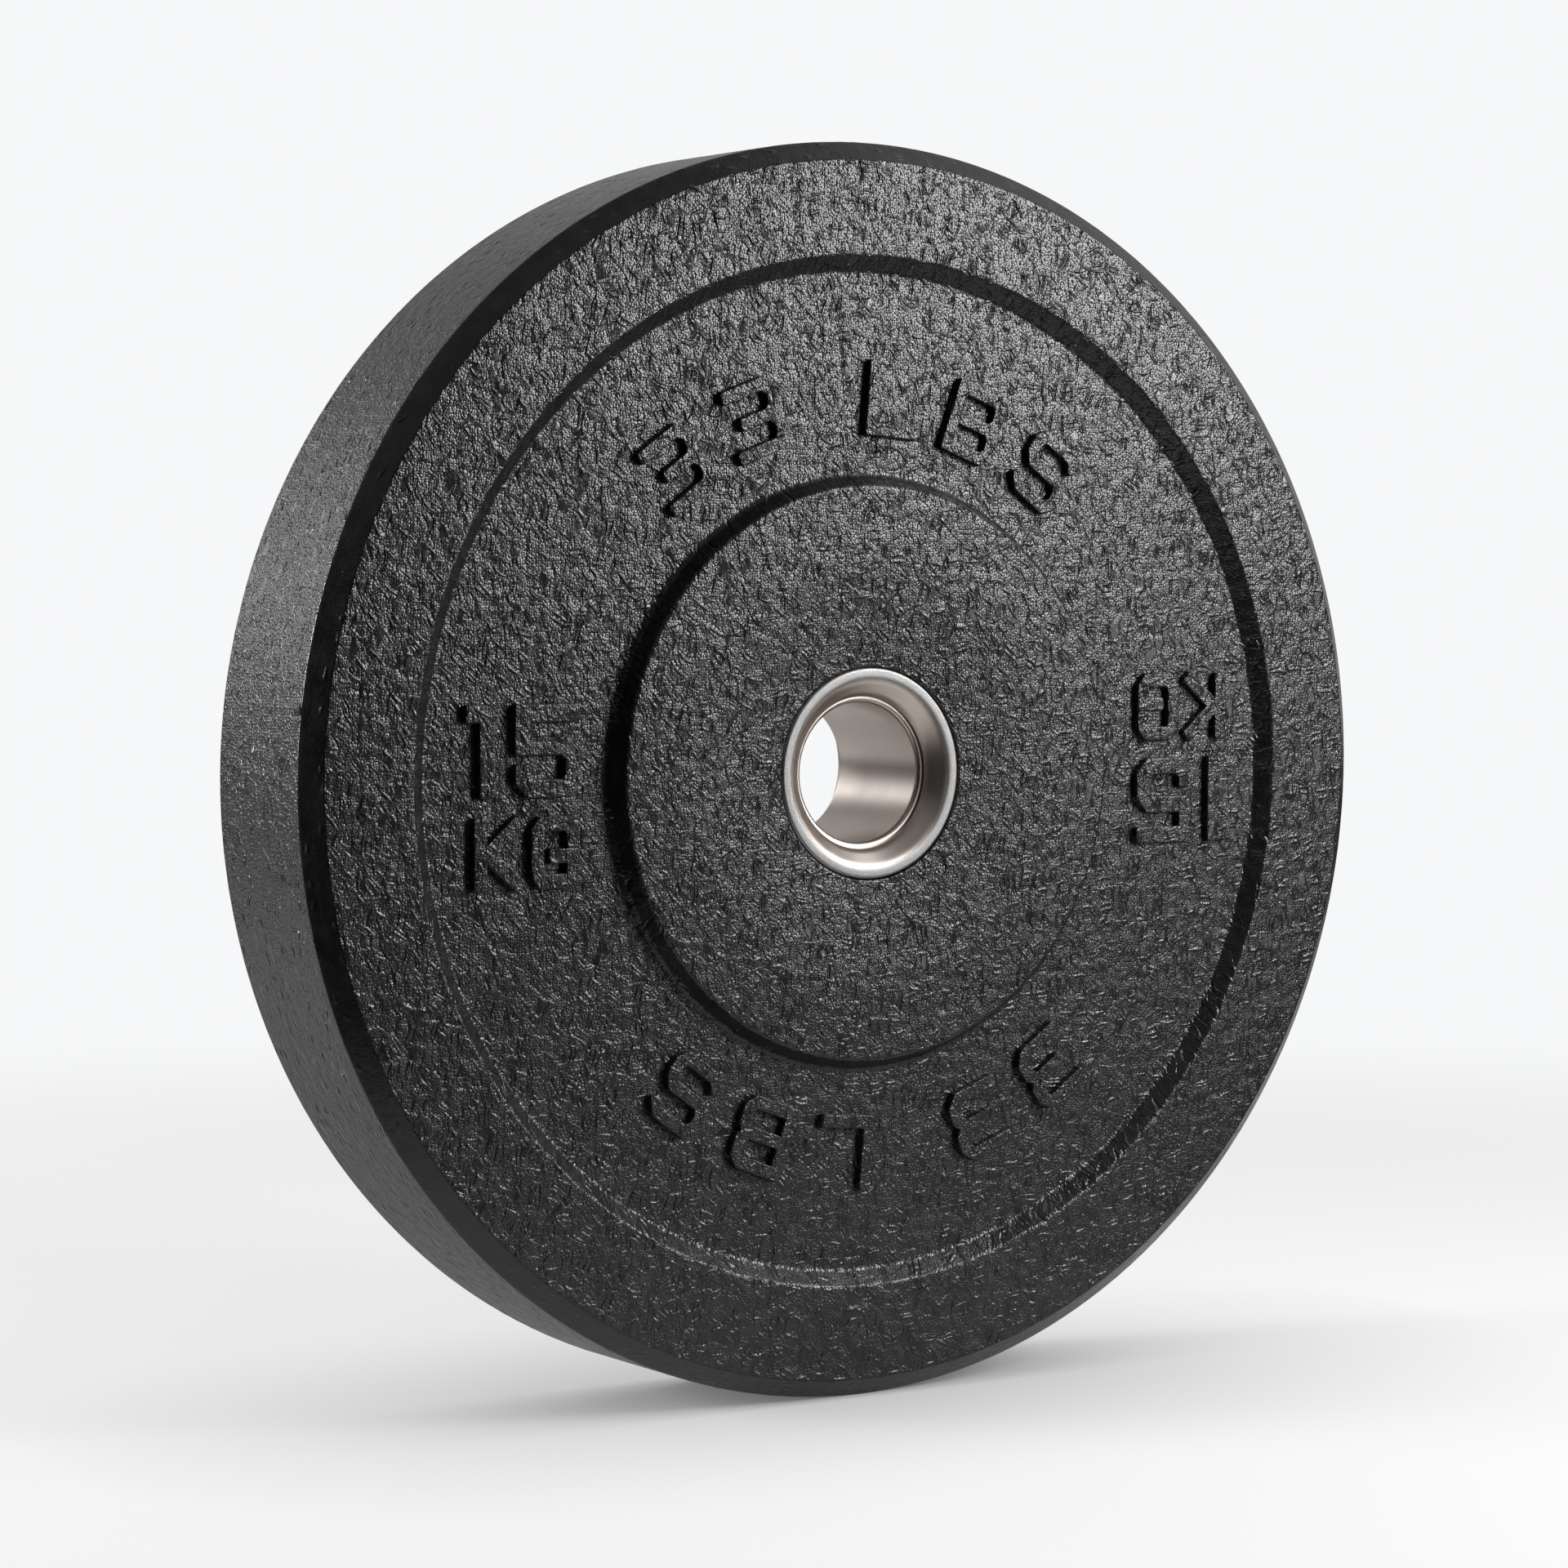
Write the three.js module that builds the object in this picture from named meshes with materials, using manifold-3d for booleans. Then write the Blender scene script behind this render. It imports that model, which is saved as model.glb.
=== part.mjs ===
import * as THREE from 'three';
import { mergeVertices } from 'three/addons/utils/BufferGeometryUtils.js';
import Module from 'manifold-3d';

// Bumper plate: a moulded crumb rubber disc on a turned stainless steel insert.
// Millimetres, +Z up. The plate's axis is Y, its centre is the origin, it
// stands on its tread, and its front face looks towards -Y.

// Rubber disc
const PLATE_RADIUS = 225;
const TREAD_WIDTH = 58.8;
const RIM_THICKNESS = 72;
const CHAMFER_WIDTH = 6.8;
const RIM_BAND_WIDTH = 33.7;
const STEP_WIDTH = 5.5;
const WEB_THICKNESS = 62;
const BOSS_RADIUS = 102.9;
const BOSS_WALL_WIDTH = 3.5;
const BOSS_THICKNESS = 76;
const DISH_WIDTH = 20;
const DISH_DEPTH = 2;
const DISH_BLEND = 160;
const TREAD_EDGE_BLEND = 1.2;
const STEP_BLEND = 1;
const BOSS_EDGE_BLEND = 1.6;
const BOSS_FOOT_BLEND = 2.5;

// Steel sleeve that runs on the bar
const BORE_RADIUS = 25.2;
const SLEEVE_WALL = 3.2;
const ENTRY_BLEND = 1.8;

// Mouth rings, pressed on the two ends of the sleeve
const LIP_OVERHANG = 0.4;
const LIP_THICKNESS = 0.8;
const LEDGE_WIDTH = 1.2;
const FUNNEL_WIDTH = 4.8;
const STEEL_RIM_WIDTH = 4.6;
const STEEL_RIM_THICKNESS = 3;
const STEEL_RIM_BLEND = 1.2;
const FUNNEL_TOP_BLEND = 3;
const FUNNEL_FOOT_BLEND = 2;
const COLLAR_WALL = 4;
const COLLAR_BLEND = 2.2;
const SOCKET_DEPTH = 7;
const FRONT_FUNNEL_DEPTH = 6.2;
const REAR_FUNNEL_DEPTH = 11.2;

// Anchor flange, welded round the sleeve and buried in the rubber
const ANCHOR_WIDTH = 33;
const ANCHOR_THICKNESS = 4;
const ANCHOR_HOLE_RADIUS = 6;
const ANCHOR_HOLES = 8;

// Gap left between pieces that seat on each other, and overrun of a join
const CLEARANCE = 0.3;
const OVERRUN = 2;

// Facets
const DISC_SIDES = 64;
const STEEL_SIDES = 48;
const HOLE_SIDES = 16;
const BLEND_STEPS = 2;

// Rubber disc, worked out
const treadHalf = TREAD_WIDTH / 2;
const rimHalf = RIM_THICKNESS / 2;
const webHalf = WEB_THICKNESS / 2;
const bossHalf = BOSS_THICKNESS / 2;
const bandOuterRadius = PLATE_RADIUS - CHAMFER_WIDTH;
const stepTopRadius = bandOuterRadius - RIM_BAND_WIDTH;
const stepFootRadius = stepTopRadius - STEP_WIDTH;
const bossFootRadius = BOSS_RADIUS + BOSS_WALL_WIDTH;

// Insert, worked out from the bore outwards
const sleeveOuterRadius = BORE_RADIUS + SLEEVE_WALL;
const lipRadius = BORE_RADIUS + ENTRY_BLEND + LIP_OVERHANG;
const funnelFootRadius = lipRadius + LEDGE_WIDTH;
const funnelTopRadius = funnelFootRadius + FUNNEL_WIDTH;
const steelRimRadius = funnelTopRadius + STEEL_RIM_WIDTH;
const steelFaceHalf = bossHalf - DISH_DEPTH;
const socketRadius = sleeveOuterRadius + CLEARANCE;
const collarRadius = socketRadius + COLLAR_WALL;
const anchorInnerRadius = sleeveOuterRadius + CLEARANCE;
const anchorOuterRadius = anchorInnerRadius + ANCHOR_WIDTH;
const anchorPitchRadius = (collarRadius + anchorOuterRadius) / 2;

// Depth below the steel face at which the sleeve ends under a ring's lip
const sleeveEndDepth = (funnelDepth) => funnelDepth + LIP_THICKNESS + CLEARANCE;
const collarEndDepth = (funnelDepth) => sleeveEndDepth(funnelDepth) + SOCKET_DEPTH;

// Turns corners of radius, height and blend into outline points, with each
// blended corner replaced by a tangent arc that its two walls have room for.
function blendCorners(corners) {
  return corners.flatMap(([r, y, blend = 0], i) => {
    const corner = new THREE.Vector2(r, y);
    if (blend === 0) return [corner];
    const [beforeR, beforeY] = corners.at(i - 1);
    const [afterR, afterY] = corners[(i + 1) % corners.length];
    const before = new THREE.Vector2(beforeR, beforeY).sub(corner);
    const after = new THREE.Vector2(afterR, afterY).sub(corner);
    const room = Math.min(before.length(), after.length()) / 2;
    before.normalize();
    after.normalize();
    const halfAngle = Math.acos(before.dot(after)) / 2;
    const tangent = Math.min(blend / Math.tan(halfAngle), room);
    const radius = tangent * Math.tan(halfAngle);
    const middle = before.clone().add(after).normalize();
    const centre = middle.multiplyScalar(radius / Math.sin(halfAngle)).add(corner);
    const start = corner.clone().addScaledVector(before, tangent).sub(centre);
    const end = corner.clone().addScaledVector(after, tangent).sub(centre);
    const sweep = Math.atan2(start.cross(end), start.dot(end));
    return Array.from({ length: BLEND_STEPS + 1 }, (_, k) =>
      start.clone().rotateAround(new THREE.Vector2(), (sweep * k) / BLEND_STEPS).add(centre));
  });
}

// Revolves a closed outline round Y. Radii are measured to the middle of a
// facet, and a facet faces straight down, so the plate rests on a flat.
function revolve(outline, sides) {
  const halfFacet = Math.PI / sides;
  const reach = 1 / Math.cos(halfFacet);
  const closed = [...outline, outline[0]].map(({ x, y }) => new THREE.Vector2(x * reach, y));
  if (THREE.ShapeUtils.area(outline) < 0) closed.reverse();
  return new THREE.LatheGeometry(closed, sides, halfFacet);
}

// Evenly spaced points on a circle, half a step round from the X axis
function spread(radius, count, centre = new THREE.Vector2()) {
  const spoke = new THREE.Vector2(radius, 0);
  return Array.from({ length: count }, (_, i) =>
    spoke.clone().rotateAround(new THREE.Vector2(), ((2 * i + 1) * Math.PI) / count).add(centre));
}

// Corners of a polygon whose facets lie at the given radius
function ring(radius, sides, centre) {
  return spread(radius / Math.cos(Math.PI / sides), sides, centre);
}

// Extrudes a shape drawn in X and Z evenly to both sides of the middle plane
function plateAcrossY(shape, thickness) {
  const plate = new THREE.ExtrudeGeometry(shape, { depth: thickness, bevelEnabled: false });
  return plate.translate(0, 0, -thickness / 2).rotateX(Math.PI / 2);
}

const anchorHoleCentres = spread(anchorPitchRadius, ANCHOR_HOLES);

const wasm = await Module();
wasm.setup();

function toSolid(geometry) {
  const bare = geometry.clone();
  bare.deleteAttribute('normal');
  bare.deleteAttribute('uv');
  const merged = mergeVertices(bare);
  return new wasm.Manifold(new wasm.Mesh({
    numProp: 3,
    vertProperties: Float32Array.from(merged.attributes.position.array),
    triVerts: Uint32Array.from(merged.index.array),
  }));
}

function toGeometry(solid) {
  const { vertProperties, triVerts } = solid.getMesh();
  const geometry = new THREE.BufferGeometry();
  geometry.setAttribute('position', new THREE.BufferAttribute(vertProperties, 3));
  geometry.setIndex(new THREE.BufferAttribute(triVerts, 1));
  geometry.computeVertexNormals();
  return geometry;
}

const crumbRubber = new THREE.MeshStandardMaterial({ color: 0x262626, roughness: 0.75 });
const turnedSteel = new THREE.MeshStandardMaterial({
  color: 0xb9b2aa, roughness: 0.35, metalness: 1,
});
const brushedSteel = new THREE.MeshStandardMaterial({
  color: 0xa39b93, roughness: 0.45, metalness: 1,
});
const millSteel = new THREE.MeshStandardMaterial({
  color: 0x7d7b78, roughness: 0.6, metalness: 1,
});

function piece(name, geometry, material) {
  const mesh = new THREE.Mesh(geometry, material);
  mesh.name = name;
  return mesh;
}

// Corners of one face of the disc from tread to insert: the chamfer, the flat
// rim band, the step down to the web, the boss and its dish. Side is -1 or 1.
function faceCorners(side) {
  const dishOuterRadius = steelRimRadius + CLEARANCE + DISH_WIDTH;
  return [
    [PLATE_RADIUS, side * treadHalf, TREAD_EDGE_BLEND],
    [bandOuterRadius, side * rimHalf, TREAD_EDGE_BLEND],
    [stepTopRadius, side * rimHalf, STEP_BLEND],
    [stepFootRadius, side * webHalf, STEP_BLEND],
    [bossFootRadius, side * webHalf, BOSS_FOOT_BLEND],
    [BOSS_RADIUS, side * bossHalf, BOSS_EDGE_BLEND],
    [dishOuterRadius, side * bossHalf, DISH_BLEND],
    [steelRimRadius + CLEARANCE, side * steelFaceHalf],
  ];
}

// Corners of the pocket that holds one mouth ring and its share of the sleeve
function pocketCorners(side, funnelDepth) {
  const rimSeat = side * (steelFaceHalf - STEEL_RIM_THICKNESS - CLEARANCE);
  const collarSeat = side * (steelFaceHalf - collarEndDepth(funnelDepth) - CLEARANCE);
  const anchorSeat = side * (ANCHOR_THICKNESS / 2 + CLEARANCE);
  return [
    [steelRimRadius + CLEARANCE, rimSeat],
    [collarRadius + CLEARANCE, rimSeat, COLLAR_BLEND],
    [collarRadius + CLEARANCE, collarSeat],
    [sleeveOuterRadius + CLEARANCE, collarSeat],
    [sleeveOuterRadius + CLEARANCE, anchorSeat],
    [anchorOuterRadius + CLEARANCE, anchorSeat],
  ];
}

// The disc is moulded round the insert: rubber fills the groove round the
// anchor flange and bridges it through each hole of the flange.
function rubberDisc() {
  const front = [...faceCorners(-1), ...pocketCorners(-1, FRONT_FUNNEL_DEPTH)];
  const rear = [...faceCorners(1), ...pocketCorners(1, REAR_FUNNEL_DEPTH)];
  const outline = blendCorners([...front, ...rear.reverse()]);
  let disc = toSolid(revolve(outline, DISC_SIDES));
  const bridgeLength = ANCHOR_THICKNESS + 2 * (CLEARANCE + OVERRUN);
  for (const centre of anchorHoleCentres) {
    const section = new THREE.Shape(ring(ANCHOR_HOLE_RADIUS - CLEARANCE, HOLE_SIDES, centre));
    disc = disc.add(toSolid(plateAcrossY(section, bridgeLength)));
  }
  return piece('rubber_disc', toGeometry(disc), crumbRubber);
}

// Plain tube with a rounded entry at each end of its bore
function boreSleeve() {
  const front = sleeveEndDepth(FRONT_FUNNEL_DEPTH) - steelFaceHalf;
  const rear = steelFaceHalf - sleeveEndDepth(REAR_FUNNEL_DEPTH);
  const corners = [
    [BORE_RADIUS, front, ENTRY_BLEND],
    [sleeveOuterRadius, front],
    [sleeveOuterRadius, rear],
    [BORE_RADIUS, rear, ENTRY_BLEND],
  ];
  const outline = blendCorners(corners);
  return piece('bore_sleeve', revolve(outline, STEEL_SIDES), brushedSteel);
}

// Turned ring: a flat rim flush with the rubber, a funnel that runs in to a
// narrow ledge and lip over the sleeve's end, and a collar round the sleeve.
function mouthRing(name, side, funnelDepth) {
  const corners = [
    [steelRimRadius, 0, STEEL_RIM_BLEND],
    [steelRimRadius, STEEL_RIM_THICKNESS],
    [collarRadius, STEEL_RIM_THICKNESS, COLLAR_BLEND],
    [collarRadius, collarEndDepth(funnelDepth)],
    [socketRadius, collarEndDepth(funnelDepth)],
    [socketRadius, funnelDepth + LIP_THICKNESS],
    [lipRadius, funnelDepth + LIP_THICKNESS],
    [lipRadius, funnelDepth],
    [funnelFootRadius, funnelDepth, FUNNEL_FOOT_BLEND],
    [funnelTopRadius, 0, FUNNEL_TOP_BLEND],
  ].map(([r, depth, blend]) => [r, side * (steelFaceHalf - depth), blend]);
  const outline = blendCorners(corners);
  return piece(name, revolve(outline, STEEL_SIDES), turnedSteel);
}

// Flat washer with a circle of holes, in the middle plane of the plate
function anchorFlange() {
  const washer = new THREE.Shape(ring(anchorOuterRadius, STEEL_SIDES));
  washer.holes.push(new THREE.Path(ring(anchorInnerRadius, STEEL_SIDES)));
  for (const centre of anchorHoleCentres) {
    washer.holes.push(new THREE.Path(ring(ANCHOR_HOLE_RADIUS, HOLE_SIDES, centre)));
  }
  return piece('anchor_flange', plateAcrossY(washer, ANCHOR_THICKNESS), millSteel);
}

const insert = new THREE.Group();
insert.name = 'insert';
insert.add(
  boreSleeve(),
  mouthRing('front_mouth_ring', -1, FRONT_FUNNEL_DEPTH),
  mouthRing('rear_mouth_ring', 1, REAR_FUNNEL_DEPTH),
  anchorFlange(),
);

const bumperPlate = new THREE.Group();
bumperPlate.name = 'bumper_plate';
bumperPlate.add(rubberDisc(), insert);

export default bumperPlate;
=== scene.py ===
import math

import bpy
import numpy as np
from mathutils import Matrix, Vector
from mathutils.geometry import delaunay_2d_cdt


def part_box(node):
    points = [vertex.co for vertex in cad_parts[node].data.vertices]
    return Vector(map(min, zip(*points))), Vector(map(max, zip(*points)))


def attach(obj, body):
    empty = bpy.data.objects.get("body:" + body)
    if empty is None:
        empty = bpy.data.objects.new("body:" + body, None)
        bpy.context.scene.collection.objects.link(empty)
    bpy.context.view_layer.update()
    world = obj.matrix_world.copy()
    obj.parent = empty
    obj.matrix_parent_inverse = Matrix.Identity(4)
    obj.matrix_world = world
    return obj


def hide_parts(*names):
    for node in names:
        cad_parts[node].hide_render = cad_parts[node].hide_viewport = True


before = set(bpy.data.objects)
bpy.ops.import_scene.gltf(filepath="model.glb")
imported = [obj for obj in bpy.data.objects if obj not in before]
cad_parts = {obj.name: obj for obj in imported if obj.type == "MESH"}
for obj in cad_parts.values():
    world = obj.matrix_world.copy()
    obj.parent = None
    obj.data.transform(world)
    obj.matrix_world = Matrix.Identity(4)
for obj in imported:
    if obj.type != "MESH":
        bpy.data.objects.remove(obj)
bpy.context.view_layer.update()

# Looks of the bumper plate. The CAD frame gives the places and outer sizes, in
# metres; the surfaces below are worked out in millimetres and scaled once.

MM = 0.001

# Camera, fitted to the photograph's ring edges
CAMERA_AZIMUTH = math.radians(-32.81)
CAMERA_ELEVATION = math.radians(2.84)
CAMERA_DISTANCE = 1.58825
CAMERA_RIGHT = -0.01174
CAMERA_UP = -0.00532
CAMERA_LENS = 99.954
SENSOR_WIDTH = 36.0


def box_mm(node, corner, axis):
    """One side of a CAD node's box: corner 0 is the low one, corner 1 the high one."""
    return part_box(node)[corner][axis] / MM


# Sizes read from the frame
PLATE_RADIUS = box_mm("rubber_disc", 1, 2)
BOSS_HALF = box_mm("rubber_disc", 1, 1)
STEEL_RIM_RADIUS = box_mm("front_mouth_ring", 1, 2)
STEEL_FACE_HALF = -box_mm("front_mouth_ring", 0, 1)
FRONT_RING_END = box_mm("front_mouth_ring", 1, 1)
REAR_RING_END = box_mm("rear_mouth_ring", 0, 1)
SLEEVE_RADIUS = box_mm("bore_sleeve", 1, 2)
SLEEVE_FRONT = box_mm("bore_sleeve", 0, 1)
SLEEVE_REAR = box_mm("bore_sleeve", 1, 1)

# Rubber outline, as in the CAD but for a wider dish and rounder steps
TREAD_HALF = 29.4
RIM_HALF = 36.0
CHAMFER_WIDTH = 6.8
RIM_BAND_WIDTH = 33.7
STEP_WIDTH = 5.5
WEB_HALF = 31.0
BOSS_RADIUS = 102.9
BOSS_WALL_WIDTH = 3.5
DISH_WIDTH = 38.0
DISH_BLEND = 160.0
TREAD_EDGE_BLEND = 1.2
STEP_BLEND = 2.0
BOSS_EDGE_BLEND = 1.6
BOSS_FOOT_BLEND = 2.5
INSERT_GAP = 0.3
GAP_DEPTH = 2.4
GAP_EDGE_BLEND = 0.5

BAND_OUTER = PLATE_RADIUS - CHAMFER_WIDTH
STEP_TOP = BAND_OUTER - RIM_BAND_WIDTH
STEP_FOOT = STEP_TOP - STEP_WIDTH
BOSS_FOOT = BOSS_RADIUS + BOSS_WALL_WIDTH
RUBBER_INNER = STEEL_RIM_RADIUS + INSERT_GAP

# Steel outline, as in the CAD but for a funnel drawn as one smooth bend
BORE_RADIUS = 25.2
ENTRY_BLEND = 1.8
LIP_OVERHANG = 0.4
LIP_THICKNESS = 0.8
LIP_BLEND = 0.4
LEDGE_WIDTH = 1.2
FUNNEL_WIDTH = 4.8
STEEL_RIM_THICKNESS = 3.0
STEEL_RIM_BLEND = 1.2
FUNNEL_TOP_BLEND = 5.0
FUNNEL_FOOT_BLEND = 9.0
FUNNEL_BEND_SHARE = 0.72
COLLAR_WALL = 4.0
COLLAR_BLEND = 2.2
SOCKET_DEPTH = 7.0

# Fineness of the meshes: spacings in millimetres, and counts of steps
FRONT_SPACING = 0.78
REAR_SPACING = 0.85
TREAD_SPACING = 1.1
STEEL_SPACING = 1.0
STEEL_STEPS = 320
STEEL_ARC_STEPS = 10
ARC_STEPS = 6
THINNEST_SHARE = 0.35
RING_SPACING_SHARE = 0.35
WEB_SPACING_SHARE = 0.5

# Differences in radius, place and step count that are only rounding
RADIUS_LEEWAY = 1e-3
POINT_LEEWAY = 1e-4
STEP_LEEWAY = 1e-6

# Raised marks on the web
MARK_HEIGHT = 2.6
MARK_CORNER = 0.9
MARK_CORNER_STEPS = 3
MARK_DISC_SIDES = 20
MARK_EDGE = 0.35
MARK_EDGE_SHARES = (0.6, 0.2)
MARK_DRAFT = 0.25
MARK_ROOT = 0.8
MARK_SPACING = 0.75
MARK_LEAST_STEP = 0.02
MARK_JITTER = 0.2
MARK_CRUMB_GAIN = 0.5
MARK_WALL_TOP = 0.9
MARK_WALL_SLOPE = 2.0
SQUARE_CORNER_LEEWAY = 0.2
DIGIT_SIZE = (26.0, 32.0)
ONE_SIZE = (11.5, 32.0)
LETTER_SIZE = (19.3, 25.0)
DIGIT_STROKE = 6.2
LETTER_STROKE = 5.2
BLOCK_LEFT = -163.5
BLOCK_DIGIT_FOOT = -5.0
BLOCK_LETTER_FOOT = -36.5
BLOCK_DIGIT_GAP = 7.5
BLOCK_LETTER_GAP = 3.0
SECOND_SET_SHIFT = (2.8, -2.6)
ARC_TEXT = "33 LBS"
ARC_RADIUS = 134.0
ARC_SIZE = (23.0, 27.0)
ARC_STROKE = 4.8
ARC_PITCH = 15.5
ARC_WORD_GAP = 10.0

# Crumb of the moulded rubber: its map, and where its height is taken back. The flow's two
# swirls and its ripple are each given in waves across the map's width and up it
CRUMB_PIXEL = 0.36
CRUMB_DEPTH = 0.17
CRUMB_PASSES = 2
CRUMB_QUANTILES = (0.001, 0.999)
CRUMB_MAP_EDGE = 1.001
STAMP_MARGIN = 3
FLOW_WAVES = ((3, 0), (2, 5), (9, -4))
FLOW_SWIRL = 0.5
FLOW_RIPPLE = 0.35
TREAD_ROUND = 2 * math.pi * PLATE_RADIUS
TREAD_ACROSS = 90.0
TREAD_CRUMB_GAIN = 0.9
EDGE_CRUMB_GAIN = 0.4
BAND_EDGE_FADE = 4.0
CHAMFER_EDGE_FADE = 3.0
GAP_FADE = 1.5
WALL_CRUMB_LOSS = 0.5
WALL_STEEPNESS = 3.0
CHAMFER_CRUMB_LOSS = 0.7
CHAMFER_STEEPNESS = 2.0
FACE_PATTERN_DEPTH = 40.0
SEED = 15

rng = np.random.default_rng(SEED)


# Outlines and meshes


def rounded(corners, arc_steps=ARC_STEPS):
    """Outline through corners of radius, height and blend, with blended corners as arcs."""
    points = []
    for i, corner in enumerate(corners):
        here = np.array(corner[:2], float)
        blend = corner[2] if len(corner) > 2 else 0.0
        if blend == 0.0:
            points.append(here)
            continue
        before = np.array(corners[i - 1][:2], float) - here
        after = np.array(corners[(i + 1) % len(corners)][:2], float) - here
        room = min(np.linalg.norm(before), np.linalg.norm(after)) / 2
        before /= np.linalg.norm(before)
        after /= np.linalg.norm(after)
        half_angle = math.acos(np.clip(before @ after, -1, 1)) / 2
        tangent = min(blend / math.tan(half_angle), room)
        radius = tangent * math.tan(half_angle)
        middle = (before + after) / np.linalg.norm(before + after)
        centre = here + middle * radius / math.sin(half_angle)
        start = here + before * tangent - centre
        end = here + after * tangent - centre
        sweep = math.atan2(start[0] * end[1] - start[1] * end[0], start @ end)
        for k in range(arc_steps + 1):
            turn = sweep * k / arc_steps
            cos, sin = math.cos(turn), math.sin(turn)
            points.append(centre + [start[0] * cos - start[1] * sin, start[0] * sin + start[1] * cos])
    return np.array(points)


def resampled(points, spacing):
    """The outline's points plus evenly spread ones, so that no step is longer than spacing."""
    out = [points[0]]
    for a, b in zip(points[:-1], points[1:]):
        steps = max(1, math.ceil(np.linalg.norm(b - a) / spacing - STEP_LEEWAY))
        out += [a + (b - a) * k / steps for k in range(1, steps + 1)]
    return np.array(out)


def thinned(points, spacing):
    """Drops points that lie closer than spacing to the one kept before them."""
    keep = [points[0]]
    for point in points[1:-1]:
        if np.linalg.norm(point - keep[-1]) > spacing:
            keep.append(point)
    keep.append(points[-1])
    return np.array(keep)


def outline_normals(rows, outward):
    """Unit normals of an open outline in radius and height, on the side that outward points to."""
    along = np.gradient(rows, axis=0)
    along /= np.linalg.norm(along, axis=1)[:, None]
    normals = np.stack([along[:, 1], -along[:, 0]], 1)
    flip = np.sign((normals * np.array(outward)).sum(1))
    flip[flip == 0] = 1
    return normals * np.median(flip)


def add_object(name, data):
    """A new object of the scene that holds a mesh, lamp or camera."""
    made = bpy.data.objects.new(name, data)
    bpy.context.scene.collection.objects.link(made)
    return made


def add_piece(mesh, material):
    """A mesh as a visible piece of the plate's one body."""
    mesh.materials.append(material)
    piece = add_object(mesh.name, mesh)
    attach(piece, "root")
    return piece


def quad_piece(name, vertices, quads, material):
    """A smooth piece made of four-sided faces."""
    mesh = bpy.data.meshes.new(name)
    mesh.vertices.add(len(vertices))
    mesh.vertices.foreach_set("co", (vertices * MM).astype(np.float32).ravel())
    mesh.loops.add(quads.size)
    mesh.loops.foreach_set("vertex_index", quads.astype(np.int32).ravel())
    mesh.polygons.add(len(quads))
    mesh.polygons.foreach_set("loop_start", np.arange(0, quads.size, 4, dtype=np.int32))
    mesh.polygons.foreach_set("use_smooth", np.ones(len(quads), bool))
    mesh.update(calc_edges=True)
    mesh.validate()
    return add_piece(mesh, material)


def grid_quads(rows, columns, wrap_rows=False, flip=False):
    """Faces of a grid that closes on itself round its columns, and round its rows if asked."""
    r = np.arange(rows if wrap_rows else rows - 1)
    c = np.arange(columns)
    r, c = np.meshgrid(r, c, indexing="ij")
    below = ((r + 1) % rows) * columns
    right = (c + 1) % columns
    quads = np.stack([r * columns + c, below + c, below + right, r * columns + right], -1)
    quads = quads.reshape(-1, 4)
    return quads[:, ::-1] if flip else quads


# Marks: the middles of their strokes, in shares of a glyph's width and height

GLYPH_SHARES = {
    "1": [[(0, 1), (1, 1), (1, 0)]],
    "3": [
        [(0, 1), (0.84, 1), (1, 0.86), (1, 0.64), (0.84, 0.5), (0.25, 0.5)],
        [(0.84, 0.5), (1, 0.36), (1, 0.14), (0.84, 0), (0, 0)],
    ],
    "5": [
        [(1, 1), (0, 1), (0, 0.56), (0.84, 0.56), (1, 0.43), (1, 0.13), (0.84, 0), (0.16, 0),
         (0, 0.12), (0, 0.2)],
    ],
    "K": [[(0, 0), (0, 1)], [(0.2, 0.5), (1, 1)], [(0.2, 0.5), (1, 0)]],
    "G": [
        [(1, 0.7), (1, 0.87), (0.86, 1), (0.14, 1), (0, 0.87), (0, 0.13), (0.14, 0), (0.86, 0),
         (1, 0.13), (1, 0.44), (0.5, 0.44)],
    ],
    "L": [[(0, 1), (0, 0), (1, 0)]],
    "S": [
        [(1, 0.88), (0.86, 1), (0.14, 1), (0, 0.86), (0, 0.64), (0.14, 0.5), (0.86, 0.5),
         (1, 0.36), (1, 0.14), (0.86, 0), (0.14, 0), (0, 0.12)],
    ],
    "B": [
        [(0, 0), (0, 1), (0.86, 1), (1, 0.88), (1, 0.62), (0.86, 0.5), (0, 0.5)],
        [(0.86, 0.5), (1, 0.38), (1, 0.12), (0.86, 0), (0, 0)],
    ],
}


def stroke_polygons(path, width):
    """Rectangles along a path, squared at its ends and right-angled corners, with discs at the others."""
    path = np.array(path, float)
    along = np.diff(path, axis=0)
    along /= np.linalg.norm(along, axis=1)[:, None]
    square = np.ones(len(path), bool)
    square[1:-1] = np.abs((along[1:] * along[:-1]).sum(1)) < SQUARE_CORNER_LEEWAY
    out = []
    for i, way in enumerate(along):
        start = path[i] - way * width / 2 * square[i]
        end = path[i + 1] + way * width / 2 * square[i + 1]
        side = np.array([-way[1], way[0]]) * width / 2
        out.append(np.array([start - side, end - side, end + side, start + side]))
    turn = 2 * math.pi * np.arange(MARK_DISC_SIDES) / MARK_DISC_SIDES
    disc = np.stack([np.cos(turn), np.sin(turn)], 1) * width / 2
    out += [disc + path[i] for i in np.flatnonzero(~square)]
    return out


def glyph_polygons(letter, size, stroke):
    """Polygons of one glyph whose cell has its lower left corner at the origin, less its edge."""
    room = np.array(size) - stroke
    paths = [np.array(path) * room + stroke / 2 for path in GLYPH_SHARES[letter]]
    return [polygon for path in paths for polygon in stroke_polygons(path, stroke - 2 * MARK_EDGE)]


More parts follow.
